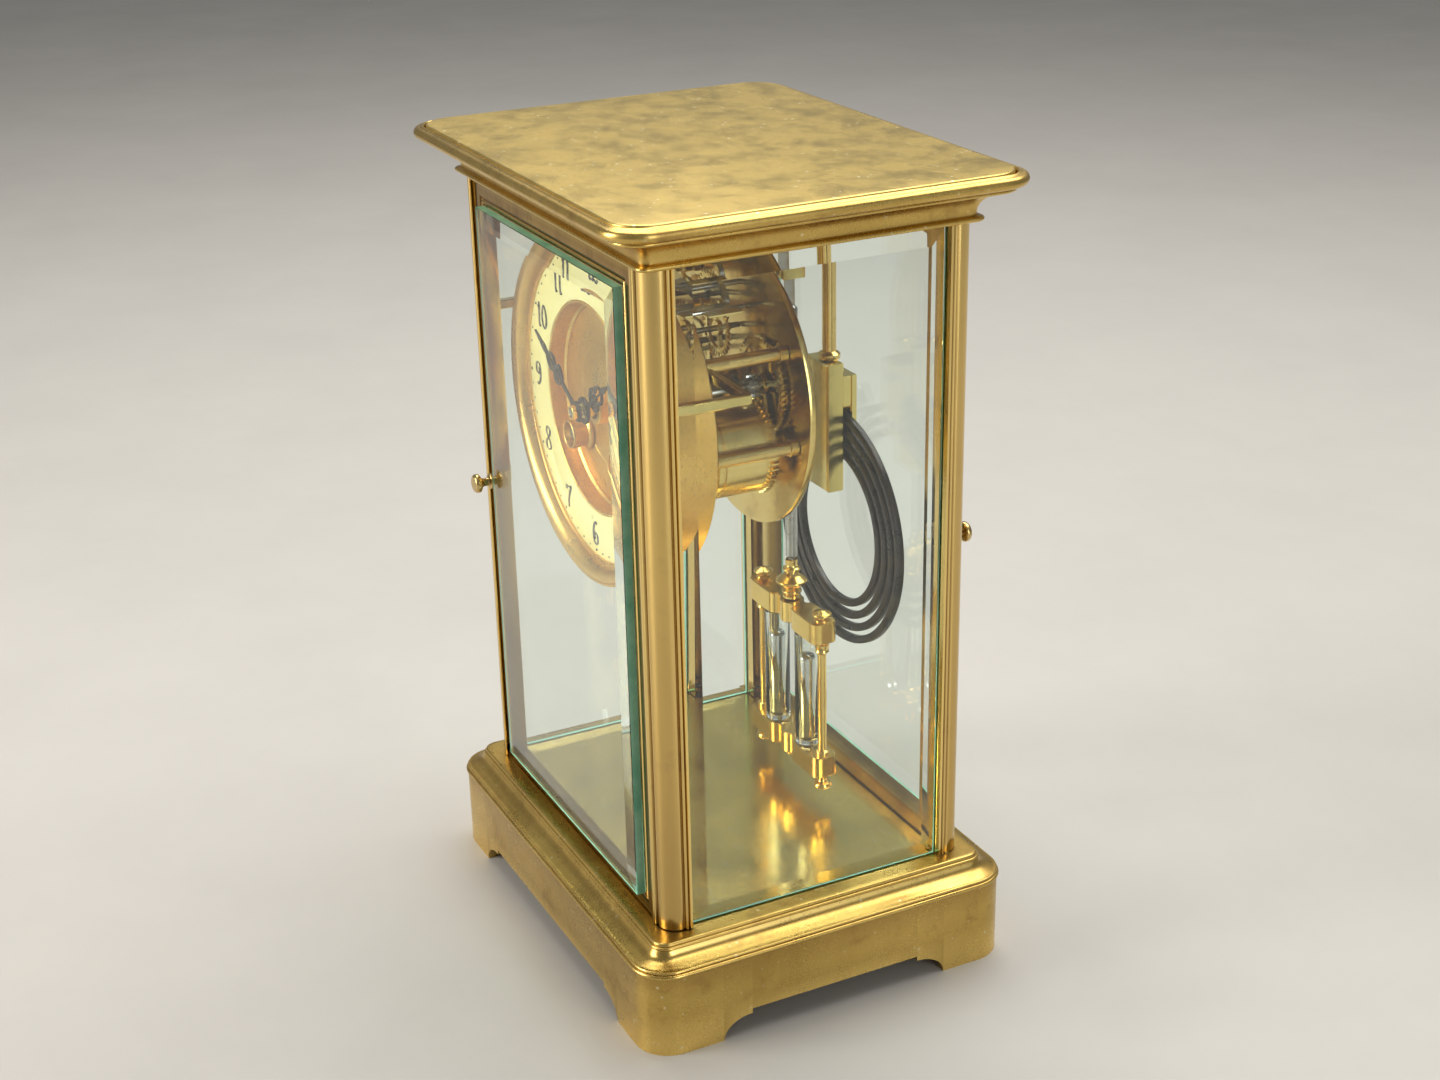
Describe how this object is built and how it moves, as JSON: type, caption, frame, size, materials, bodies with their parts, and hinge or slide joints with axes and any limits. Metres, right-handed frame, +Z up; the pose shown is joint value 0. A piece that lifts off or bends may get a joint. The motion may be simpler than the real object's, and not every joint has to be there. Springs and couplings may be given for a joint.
{
  "type": "four-glass mantel clock",
  "caption": "Brass mantel clock case with bevelled glasses, hinged front and back doors, round movement, twin-vial pendulum and coil gong.",
  "frame": {"origin": "middle of the base, on the ground that the four bracket feet stand on", "axes": "+Z up, -Y out of the dial and the front door, +X to the right as the dial is read"},
  "size_m": [0.1666, 0.1338, 0.26],
  "materials": {
    "case_brass": "aged, worn brass with a brown-olive patina",
    "pillar_brass": "darkened brass with brighter rubbed edges",
    "knob_brass": "rubbed turned brass",
    "floor_brass": "polished, slightly spotted",
    "dial_gilt": "fire-gilt, satin",
    "movement_brass": "polished and lacquered",
    "pendulum_gilt": "bright gilt, polished",
    "bright_steel": "polished steel",
    "blued_steel": "dark blued steel",
    "gong_steel": "black tempered steel",
    "mercury": "liquid metal mirror",
    "enamel": "cream vitreous enamel, glossy",
    "case_glass": "clear plate glass with ground and polished bevels",
    "vial_glass": "clear drawn tube"
  },
  "bodies": {
    "case": {"base_plinth": "case_brass", "floor_plate": "floor_brass", "pillar_front_left": "pillar_brass", "pillar_front_right": "pillar_brass", "pillar_back_left": "pillar_brass", "pillar_back_right": "pillar_brass", "cornice": "case_brass", "top_plate": "case_brass", "side_glass_left": "case_glass", "side_glass_right": "case_glass", "front_hinge_pin_bottom": "bright_steel", "front_hinge_pin_top": "bright_steel", "back_hinge_pin_bottom": "bright_steel", "back_hinge_pin_top": "bright_steel", "dial_bezel": "dial_gilt", "chapter_ring": "enamel", "dial_centre": "dial_gilt", "winding_tube_left": "dial_gilt", "winding_tube_right": "dial_gilt", "front_plate": "movement_brass", "back_plate": "movement_brass", "plate_pillar_upper_left": "movement_brass", "plate_pillar_upper_right": "movement_brass", "plate_pillar_lower_left": "movement_brass", "plate_pillar_lower_right": "movement_brass", "movement_bracket_left": "movement_brass", "movement_bracket_right": "movement_brass", "suspension_cock": "movement_brass", "gong_rod": "movement_brass", "gong_block": "movement_brass", "gong_coil": "gong_steel"},
    "front_door": {"front_door_frame": "pillar_brass", "front_door_glass": "case_glass"},
    "front_knob": {"front_door_knob": "knob_brass"},
    "back_door": {"back_door_frame": "pillar_brass", "back_door_glass": "case_glass"},
    "back_knob": {"back_door_knob": "knob_brass"},
    "minute_arbor": {"centre_wheel": "movement_brass", "minute_hand": "blued_steel", "hand_nut": "pendulum_gilt"},
    "hour_pipe": {"hour_wheel": "movement_brass", "hour_hand": "blued_steel"},
    "minute_wheel": {"minute_wheel": "movement_brass"},
    "second_wheel": {"second_wheel": "movement_brass"},
    "going_barrel": {"going_barrel": "movement_brass"},
    "third_wheel": {"third_wheel": "movement_brass"},
    "escape_wheel": {"escape_wheel": "movement_brass"},
    "going_arbor": {"going_arbor": "bright_steel"},
    "strike_barrel": {"strike_barrel": "movement_brass"},
    "strike_arbor": {"strike_arbor": "bright_steel"},
    "hammer": {"hammer": "bright_steel"},
    "pendulum": {"pendulum_rod": "bright_steel", "pendulum_top_bar": "pendulum_gilt", "pendulum_stirrup": "pendulum_gilt", "vial_left": "vial_glass", "vial_right": "vial_glass", "mercury_left": "mercury", "mercury_right": "mercury"},
    "rating_nut": {"rating_nut": "pendulum_gilt"},
    "anchor": {"anchor": "bright_steel"}
  },
  "joints": [
    {"name": "front_door_hinge", "type": "hinge", "parent": "case", "child": "front_door", "pos_m": [0.057, -0.0505, 0.14], "axis": [0, 0, 1], "range_deg": [0, 90]},
    {"name": "front_catch_turn", "type": "hinge", "parent": "front_door", "child": "front_knob", "pos_m": [-0.0574, -0.05, 0.142], "axis": [0, -1, 0], "range_deg": [0, 90]},
    {"name": "back_door_hinge", "type": "hinge", "parent": "case", "child": "back_door", "pos_m": [-0.057, 0.0505, 0.14], "axis": [0, 0, 1], "range_deg": [0, 90]},
    {"name": "back_catch_turn", "type": "hinge", "parent": "back_door", "child": "back_knob", "pos_m": [0.0574, 0.05, 0.142], "axis": [0, 1, 0], "range_deg": [0, 90]},
    {"name": "minute_turn", "type": "hinge", "parent": "case", "child": "minute_arbor", "pos_m": [0, 0, 0.1825], "axis": [0, 1, 0], "continuous": true},
    {"name": "hour_turn", "type": "hinge", "parent": "case", "child": "hour_pipe", "pos_m": [0, -0.035, 0.1825], "axis": [0, 1, 0], "continuous": true},
    {"name": "minute_wheel_turn", "type": "hinge", "parent": "case", "child": "minute_wheel", "pos_m": [0, -0.026, 0.1945], "axis": [0, 1, 0], "continuous": true},
    {"name": "second_wheel_turn", "type": "hinge", "parent": "case", "child": "second_wheel", "pos_m": [0.01723, 0, 0.18772], "axis": [0, 1, 0], "continuous": true},
    {"name": "going_barrel_turn", "type": "hinge", "parent": "case", "child": "going_barrel", "pos_m": [0.017, 0, 0.169], "axis": [0, 1, 0], "continuous": true},
    {"name": "third_wheel_turn", "type": "hinge", "parent": "case", "child": "third_wheel", "pos_m": [-0.0138, 0, 0.19407], "axis": [0, 1, 0], "continuous": true},
    {"name": "escape_wheel_turn", "type": "hinge", "parent": "case", "child": "escape_wheel", "pos_m": [0, 0, 0.20217], "axis": [0, 1, 0], "continuous": true},
    {"name": "going_winding", "type": "hinge", "parent": "case", "child": "going_arbor", "pos_m": [0.017, 0, 0.169], "axis": [0, 1, 0], "continuous": true},
    {"name": "strike_barrel_turn", "type": "hinge", "parent": "case", "child": "strike_barrel", "pos_m": [-0.017, 0, 0.169], "axis": [0, 1, 0], "continuous": true},
    {"name": "strike_winding", "type": "hinge", "parent": "case", "child": "strike_arbor", "pos_m": [-0.017, 0, 0.169], "axis": [0, 1, 0], "continuous": true},
    {"name": "hammer_lift", "type": "hinge", "parent": "case", "child": "hammer", "pos_m": [-0.0311, 0.03, 0.1531], "axis": [0, 1, 0], "range_deg": [-14, 6], "stiffness_Nm_per_rad": 0.006, "springref_deg": -3.44},
    {"name": "pendulum_swing", "type": "hinge", "parent": "case", "child": "pendulum", "pos_m": [0, 0.028, 0.216], "axis": [0, 1, 0], "range_deg": [-3, 3]},
    {"name": "rating_nut_turn", "type": "hinge", "parent": "pendulum", "child": "rating_nut", "pos_m": [0, 0.028, 0.11], "axis": [0, 0, 1], "continuous": true},
    {"name": "anchor_rock", "type": "hinge", "parent": "case", "child": "anchor", "pos_m": [0, 0.01, 0.216], "axis": [0, 1, 0], "range_deg": [-3, 3]}
  ],
  "couplings": [
    {"joint": "hour_turn", "follows": "minute_turn", "ratio": 0.083333},
    {"joint": "minute_wheel_turn", "follows": "minute_turn", "ratio": -0.33333},
    {"joint": "second_wheel_turn", "follows": "minute_turn", "ratio": -0.2},
    {"joint": "going_barrel_turn", "follows": "minute_turn", "ratio": 0.04},
    {"joint": "third_wheel_turn", "follows": "minute_turn", "ratio": -6},
    {"joint": "escape_wheel_turn", "follows": "minute_turn", "ratio": 36},
    {"joint": "anchor_rock", "follows": "pendulum_swing", "ratio": 1}
  ]
}
